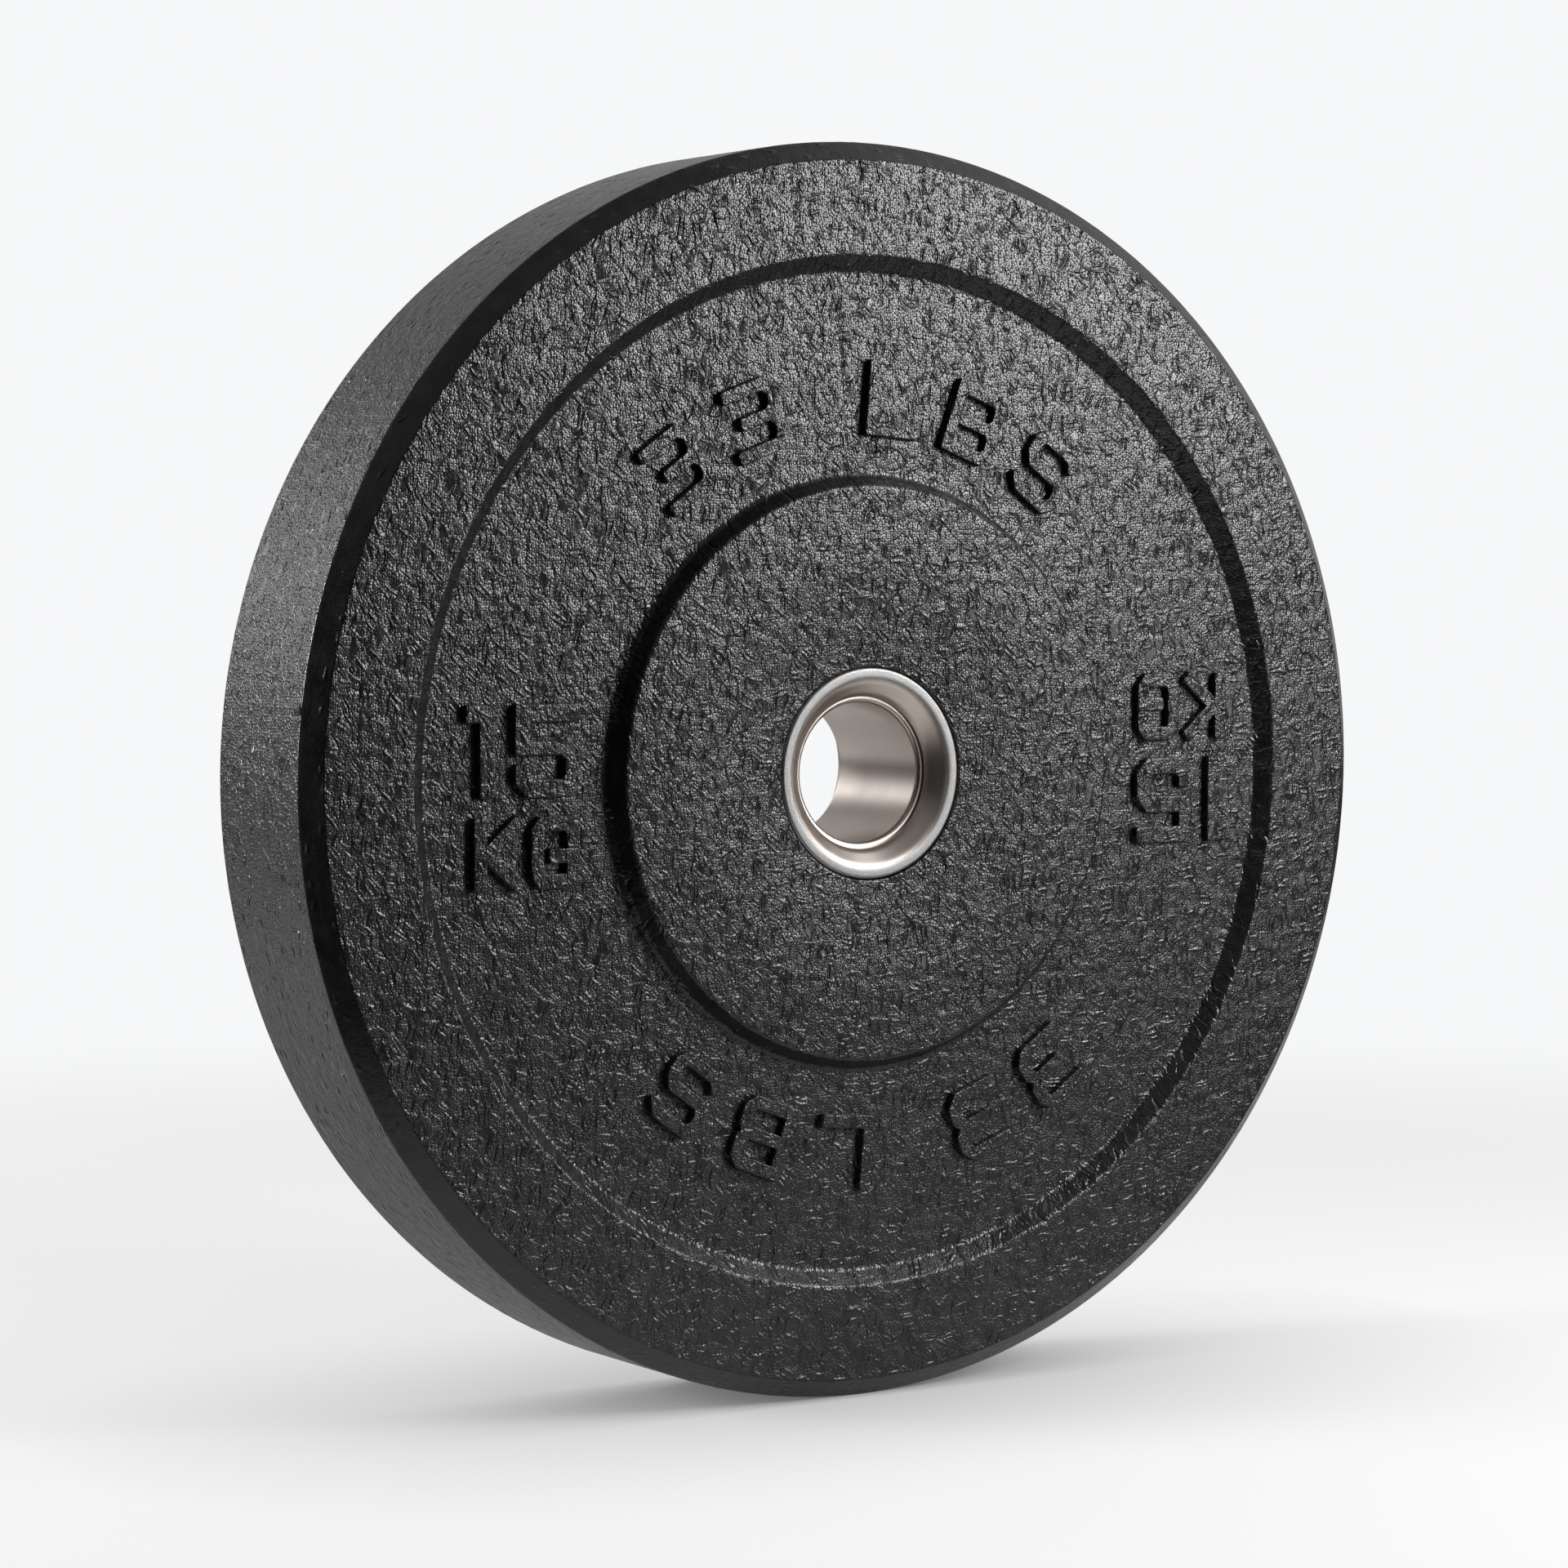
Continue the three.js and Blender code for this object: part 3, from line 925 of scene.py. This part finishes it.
# Rings down a mark's wall, from its rounded upper edge to its root in the web: way out and way up
MARK_RINGS = (
    (MARK_EDGE * MARK_EDGE_SHARES[0], -MARK_EDGE * MARK_EDGE_SHARES[1]),
    (MARK_EDGE, -MARK_EDGE),
    (MARK_EDGE + MARK_DRAFT, -MARK_HEIGHT),
    (MARK_EDGE + 2 * MARK_DRAFT, -MARK_HEIGHT - MARK_ROOT),
)


def mark_levels(flat, edges, side):
    """Points of a glyph's top, then of the rings down its wall, and how each edge point is numbered."""
    edge_points = np.unique(edges)
    spot = {v: i for i, v in enumerate(edge_points)}
    along = flat[edges[:, 1]] - flat[edges[:, 0]]
    along /= np.linalg.norm(along, axis=1)[:, None]
    away = np.stack([along[:, 1], -along[:, 0]], 1)
    push = np.zeros((len(edge_points), 2))
    for end in (0, 1):
        np.add.at(push, [spot[v] for v in edges[:, end]], away)
    push /= np.linalg.norm(push, axis=1)[:, None]
    crumb = face_crumb(flat, side) * MARK_CRUMB_GAIN
    levels = [np.column_stack([flat, WEB_HALF + MARK_HEIGHT + crumb])]
    for out, up in MARK_RINGS:
        ring = levels[0][edge_points].copy()
        ring[:, :2] += push * out
        ring[:, 2] += up
        levels.append(ring)
    return levels, spot


def marks_piece(side, label):
    """The raised marks of one face, with rounded upper edges and steep walls down to the web."""
    half = [*block_polygons(), *arc_polygons()]
    second_half = [[SECOND_SET_SHIFT - polygon for polygon in glyph] for glyph in half]
    vertices = []
    triangles = []
    walls = []
    count = 0
    for glyph in half + second_half:
        flat, inner, edges = mark_top(glyph)
        levels, spot = mark_levels(flat, edges, side)
        vertices += levels
        triangles.append(inner + count)
        upper = edges + count
        base = count + len(flat)
        for _ in MARK_RINGS:
            lower = np.array([[spot[a], spot[b]] for a, b in edges]) + base
            walls.append(np.column_stack([upper[:, 0], lower[:, 0], lower[:, 1], upper[:, 1]]))
            upper = lower
            base += len(spot)
        count = base
    seen = np.vstack(vertices)
    mesh = bpy.data.meshes.new(f"rubber_{label}_marks")
    corners = np.stack([seen[:, 0] * -side, seen[:, 2] * side, seen[:, 1]], 1) * MM
    faces = [*np.vstack(triangles).tolist(), *np.vstack(walls).tolist()]
    mesh.from_pydata(corners.tolist(), [], faces)
    mesh.polygons.foreach_set("use_smooth", np.ones(len(faces), bool))
    piece = add_piece(mesh, rubber)
    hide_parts("rubber_disc")
    on_wall = seen[:, 2] < WEB_HALF + MARK_HEIGHT - MARK_WALL_TOP
    store_pattern(piece, seen[:, :2], FACE_PATTERN_DEPTH * side, MARK_WALL_SLOPE * on_wall)


def tread_piece():
    """The tread with both chamfers, from one rim band to the other."""
    half = rounded(face_outline())
    half = half[half[:, 0] >= BAND_OUTER - RADIUS_LEEWAY]
    outline = resampled(np.vstack([half * [1, -1], half[-2::-1]]), TREAD_SPACING)
    outline = thinned(outline, TREAD_SPACING * THINNEST_SHARE)
    normals = outline_normals(outline, (1, 0))
    arc = np.concatenate([[0], np.cumsum(np.linalg.norm(np.diff(outline, axis=0), axis=1))])
    arc -= arc[-1] / 2
    columns = int(TREAD_ROUND / TREAD_SPACING)
    angles = 2 * math.pi * np.arange(columns) / columns
    around = np.tile(angles * PLATE_RADIUS, len(outline))
    across = np.repeat(arc, columns)
    normal_r, normal_y = np.repeat(normals[:, 0], columns), np.repeat(normals[:, 1], columns)
    slope = np.abs(normal_y)
    heights = tread_crumb(around, across) * TREAD_CRUMB_GAIN
    heights *= 1 - CHAMFER_CRUMB_LOSS * np.clip(CHAMFER_STEEPNESS * slope, 0, 1)
    at_edge = np.clip((np.abs(across) - np.abs(arc[0]) + CHAMFER_EDGE_FADE) / CHAMFER_EDGE_FADE, 0, 1)
    heights = heights * (1 - at_edge) + np.tile(edge_crumb(angles), len(outline)) * at_edge
    radius = np.repeat(outline[:, 0], columns) + normal_r * heights
    depth = np.repeat(outline[:, 1], columns) + normal_y * heights
    turns = np.tile(angles, len(outline))
    vertices = np.stack([radius * np.cos(turns), depth, radius * np.sin(turns)], 1)
    quads = grid_quads(len(outline), columns, flip=True)
    piece = quad_piece("rubber_tread", vertices, quads, tread_rubber)
    store_pattern(piece, np.column_stack([across, around]), 0.0, slope)
    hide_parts("rubber_disc")


for side, label, spacing in ((-1, "front", FRONT_SPACING), (1, "rear", REAR_SPACING)):
    face_pieces(side, label, spacing)
    marks_piece(side, label)
tread_piece()


# Steel pieces


def turned_piece(name, corners, material, node):
    """A piece turned about the bore's axis from a closed outline."""
    outline = rounded(corners, STEEL_ARC_STEPS)
    outline = resampled(np.vstack([outline, outline[:1]]), STEEL_SPACING)[:-1]
    steps = np.linalg.norm(outline - np.roll(outline, 1, axis=0), axis=1)
    outline = outline[steps > POINT_LEEWAY]
    angles = 2 * math.pi * np.arange(STEEL_STEPS) / STEEL_STEPS
    x = np.outer(outline[:, 0], np.cos(angles)).ravel()
    z = np.outer(outline[:, 0], np.sin(angles)).ravel()
    vertices = np.stack([x, np.repeat(outline[:, 1], STEEL_STEPS), z], 1)
    radii, depths = outline.T
    area = np.sum(radii * np.roll(depths, -1) - np.roll(radii, -1) * depths)
    quads = grid_quads(len(outline), STEEL_STEPS, wrap_rows=True, flip=area > 0)
    piece = quad_piece(name, vertices, quads, material)
    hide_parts(node)


def ring_corners(side, ring_end):
    """Outline of a mouth ring in radius and depth. Side is -1 in front, 1 behind."""
    lip_radius = BORE_RADIUS + ENTRY_BLEND + LIP_OVERHANG
    foot_radius = lip_radius + LEDGE_WIDTH
    top_radius = foot_radius + FUNNEL_WIDTH
    socket_radius = SLEEVE_RADIUS + INSERT_GAP
    collar_radius = socket_radius + COLLAR_WALL
    collar_depth = STEEL_FACE_HALF - abs(ring_end)
    funnel_depth = collar_depth - SOCKET_DEPTH - INSERT_GAP - LIP_THICKNESS
    corners = [
        (STEEL_RIM_RADIUS, 0, STEEL_RIM_BLEND),
        (STEEL_RIM_RADIUS, STEEL_RIM_THICKNESS),
        (collar_radius, STEEL_RIM_THICKNESS, COLLAR_BLEND),
        (collar_radius, collar_depth),
        (socket_radius, collar_depth),
        (socket_radius, funnel_depth + LIP_THICKNESS),
        (lip_radius, funnel_depth + LIP_THICKNESS),
        (lip_radius, funnel_depth, LIP_BLEND),
        (foot_radius, funnel_depth * FUNNEL_BEND_SHARE, FUNNEL_FOOT_BLEND),
        (top_radius, 0, FUNNEL_TOP_BLEND),
    ]
    return [(c[0], side * (STEEL_FACE_HALF - c[1]), *c[2:]) for c in corners]


turned_piece("front_ring", ring_corners(-1, FRONT_RING_END), turned_steel, "front_mouth_ring")
turned_piece("rear_ring", ring_corners(1, REAR_RING_END), turned_steel, "rear_mouth_ring")
turned_piece("sleeve", [
    (BORE_RADIUS, SLEEVE_FRONT, ENTRY_BLEND),
    (SLEEVE_RADIUS, SLEEVE_FRONT),
    (SLEEVE_RADIUS, SLEEVE_REAR),
    (BORE_RADIUS, SLEEVE_REAR, ENTRY_BLEND),
], brushed_steel, "bore_sleeve")

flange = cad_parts["anchor_flange"]
flange.data.materials.clear()
flange.data.materials.append(mill_steel)


# Levels of light from all round, as reflections see them
WORLD_BASE = 0.01
WORLD_BACK = 0.5
WORLD_BACK_PANEL = 2.2
WORLD_FRONT_RIGHT = 0.15
WORLD_ABOVE = 0.5
WORLD_HIGH = 0.16
BACKGROUND = (0.925, 0.93, 0.94)

# Floor: sizes and distances in metres, tones from 0 to 1
FLOOR_Z = -PLATE_RADIUS * MM
FLOOR_SIZE = 12.0
FLOOR_FAR = (0.55, 1.3)
FLOOR_NEAR = (0.18, 0.45)
FLOOR_BEHIND = (0.0, 0.15)
FLOOR_BEHIND_END = (1.0, 2.0)
FLOOR_TONE = 0.72
FLOOR_DARK_TONE = 0.01
FLOOR_SEEN_TONE = 0.26
FLOOR_EVEN = 0.65
# Painted shade: how dark, how far and how finely ambient occlusion darkens the floor's seen glow round the
# plate
FLOOR_PAINTED_SHADE_DARKEST = 0.2
FLOOR_SHADE_REACH = 0.15
FLOOR_SHADE_SAMPLES = 8
# Painted light: the part of the floor, front right, that glows for reflections though no lamp is there
FLOOR_PAINTED_GLOW_RIGHT = (0.0, 0.5)
FLOOR_PAINTED_GLOW_FRONT = (-0.3, 0.0)


def floor_material():
    """White floor: where it is seen, lamp light plus an even glow with painted soft shade round the plate;
    dark to reflections towards the front left, with a painted glow front right for them.
    """
    material, n, surface = new_material("floor")
    n.tree.nodes.remove(surface)
    output = n.tree.nodes["Material Output"]
    seen = n.seen_by_camera()
    place = n.object_place()
    x, y, _ = n.split(place)
    distance = n.add("ShaderNodeVectorMath", {0: place}, operation="LENGTH").outputs["Value"]

    near = n.fall(distance, FLOOR_NEAR)
    behind = n.math("MULTIPLY", n.ramp(y, FLOOR_BEHIND), n.fall(distance, FLOOR_BEHIND_END))
    tone = n.ramp(n.math("MAXIMUM", near, behind), (0.0, 1.0), FLOOR_DARK_TONE, FLOOR_TONE, False)
    tone = n.mix(seen, tone, (FLOOR_SEEN_TONE, FLOOR_SEEN_TONE, FLOOR_SEEN_TONE, 1))
    matt = n.add("ShaderNodeBsdfDiffuse", {"Color": tone})

    # Painted light: the floor front right glows for reflections, at the level of the world's light there
    front_right = n.product(n.ramp(x, FLOOR_PAINTED_GLOW_RIGHT), n.fall(y, FLOOR_PAINTED_GLOW_FRONT),
                            n.math("SUBTRACT", 1.0, seen), WORLD_FRONT_RIGHT)
    # Painted shade: ambient occlusion darkens the floor's glow where it is seen, round the plate's foot
    shade = n.add("ShaderNodeAmbientOcclusion", {"Distance": FLOOR_SHADE_REACH}, samples=FLOOR_SHADE_SAMPLES)
    shade = n.ramp(shade.outputs["AO"], (0.0, 1.0), FLOOR_PAINTED_SHADE_DARKEST, 1.0, False)
    light = n.math("ADD", n.product(shade, seen, FLOOR_EVEN), front_right)
    # The floor's glow: even with painted shade where seen, and painted light front right for reflections
    lift = n.add("ShaderNodeEmission", {"Color": (1, 1, 1, 1), "Strength": light})
    near_floor = n.add("ShaderNodeAddShader", {0: matt, 1: lift})

    plain = n.add("ShaderNodeEmission", {"Color": (*BACKGROUND, 1), "Strength": 1.0})
    far = n.math("MULTIPLY", n.ramp(distance, FLOOR_FAR), seen)
    shown = n.add("ShaderNodeMixShader", {0: far, 1: near_floor, 2: plain})
    n.set(output.inputs["Surface"], shown)
    return material


def add_floor():
    corners = np.array([(-1, -1), (1, -1), (1, 1), (-1, 1)]) * FLOOR_SIZE / 2
    mesh = bpy.data.meshes.new("floor")
    mesh.from_pydata([(x, y, 0) for x, y in corners], [], [(0, 1, 2, 3)])
    mesh.materials.append(floor_material())
    floor = add_object("floor", mesh)
    floor.location = (0, 0, FLOOR_Z)


add_floor()


# Lamps: name, turn from the front to the right and height in degrees, then distance, width and
# height in metres, and power in watts
LAMPS = (
    ("key", 42, 21, 0.95, 0.34, 0.4, 8.4),
    ("high", 60, 45, 1.3, 0.6, 0.6, 1.6),
    ("low", 38, -4, 0.95, 0.3, 0.16, 0.8),
    ("left_side", -111, 14, 1.7, 0.4, 0.55, 25.0),
)


def add_lamp(name, turn, rise, distance, width, height, power):
    """A rectangular lamp that faces the plate's middle."""
    data = bpy.data.lights.new(name, "AREA")
    data.shape = "RECTANGLE"
    data.size = width
    data.size_y = height
    data.energy = power
    lamp = add_object(name, data)
    turn, rise = math.radians(turn), math.radians(rise)
    away = Vector((math.sin(turn) * math.cos(rise), -math.cos(turn) * math.cos(rise), math.sin(rise)))
    lamp.location = away * distance
    lamp.rotation_euler = (-away).to_track_quat("-Z", "Y").to_euler()


for lamp in LAMPS:
    add_lamp(*lamp)


# World: edges of its lights, as ranges of the x, y and z of a direction over which they fade
BACK_START = (0.05, 0.4)
SKIRTING_FOOT = (-0.05, 0.0)
SKIRTING_TOP = (0.06, 0.12)
SKIRTING_RIGHT = (-0.3, 0.0)
SKIRTING_SHARE = 0.35
PANEL_FOOT = (0.1, 0.2)
PANEL_TOP = (0.34, 0.44)
PANEL_LEFT = (-0.58, -0.4)
PANEL_RIGHT = (-0.16, 0.0)
HIGH_LEFT_FOOT = (0.4, 0.48)
HIGH_LEFT_RIGHT = (-0.2, 0.0)
HIGH_LEFT_SHARE = 0.5
ABOVE_FOOT = (0.3, 0.46)
ABOVE_LEFT = (0.28, 0.45)
HIGH_FOOT = (0.35, 0.6)
FRONT_RIGHT_BACK = (-0.3, -0.05)
FRONT_RIGHT_LEFT = (0.25, 0.6)
FRONT_RIGHT_TOP = (0.1, 0.4)


def add_world():
    """A pale backdrop with a bright panel back left, weak light front right and darkness front left."""
    world = bpy.data.worlds.new("studio")
    world.use_nodes = True
    bpy.context.scene.world = world
    n = Nodes(world.node_tree)
    output = world.node_tree.nodes["World Output"]
    shade = world.node_tree.nodes["Background"]
    x, y, z = n.split(n.add("ShaderNodeTexCoord").outputs["Generated"])

    skirting = n.product(n.ramp(z, SKIRTING_FOOT), n.fall(z, SKIRTING_TOP), n.fall(x, SKIRTING_RIGHT))
    back = n.ramp(skirting, (0.0, 1.0), WORLD_BACK, WORLD_BACK * SKIRTING_SHARE)
    panel = n.product(n.ramp(z, PANEL_FOOT), n.fall(z, PANEL_TOP),
                      n.ramp(x, PANEL_LEFT), n.fall(x, PANEL_RIGHT))
    back = n.math("ADD", back, n.math("MULTIPLY", panel, WORLD_BACK_PANEL))
    high_left = n.math("MULTIPLY", n.ramp(z, HIGH_LEFT_FOOT), n.fall(x, HIGH_LEFT_RIGHT))
    back = n.math("MULTIPLY", back, n.ramp(high_left, (0.0, 1.0), 1.0, HIGH_LEFT_SHARE))
    level = n.math("ADD", n.math("MULTIPLY", n.ramp(y, BACK_START), back), WORLD_BASE)

    above = n.product(n.ramp(z, ABOVE_FOOT), n.ramp(x, ABOVE_LEFT), WORLD_ABOVE)
    high = n.ramp(z, HIGH_FOOT, 0.0, WORLD_HIGH)
    front_right = n.product(n.fall(y, FRONT_RIGHT_BACK), n.ramp(x, FRONT_RIGHT_LEFT),
                            n.fall(z, FRONT_RIGHT_TOP), WORLD_FRONT_RIGHT)
    for light in (above, high, front_right):
        level = n.math("MAXIMUM", level, light)

    seen = n.seen_by_camera()
    n.set(shade.inputs["Color"], n.mix(seen, (1, 1, 1, 1), (*BACKGROUND, 1)))
    n.set(shade.inputs["Strength"], n.mix(seen, level, 1.0, "FLOAT"))
    n.set(output.inputs["Surface"], shade)


add_world()


def add_camera():
    """The photograph's camera, which looks at the plate's middle but for a small shift."""
    sin_a, cos_a = math.sin(CAMERA_AZIMUTH), math.cos(CAMERA_AZIMUTH)
    sin_e, cos_e = math.sin(CAMERA_ELEVATION), math.cos(CAMERA_ELEVATION)
    back = Vector((sin_a * cos_e, -cos_a * cos_e, sin_e))
    right = Vector((cos_a, sin_a, 0))
    up = back.cross(right)
    data = bpy.data.cameras.new("camera")
    data.lens = CAMERA_LENS
    data.sensor_width = SENSOR_WIDTH
    camera = add_object("camera", data)
    place = back * CAMERA_DISTANCE + right * CAMERA_RIGHT + up * CAMERA_UP
    turn = Matrix((right, up, back)).transposed().to_4x4()
    camera.matrix_world = Matrix.Translation(place) @ turn
    bpy.context.scene.camera = camera


add_camera()

bpy.context.scene.view_settings.view_transform = "Standard"
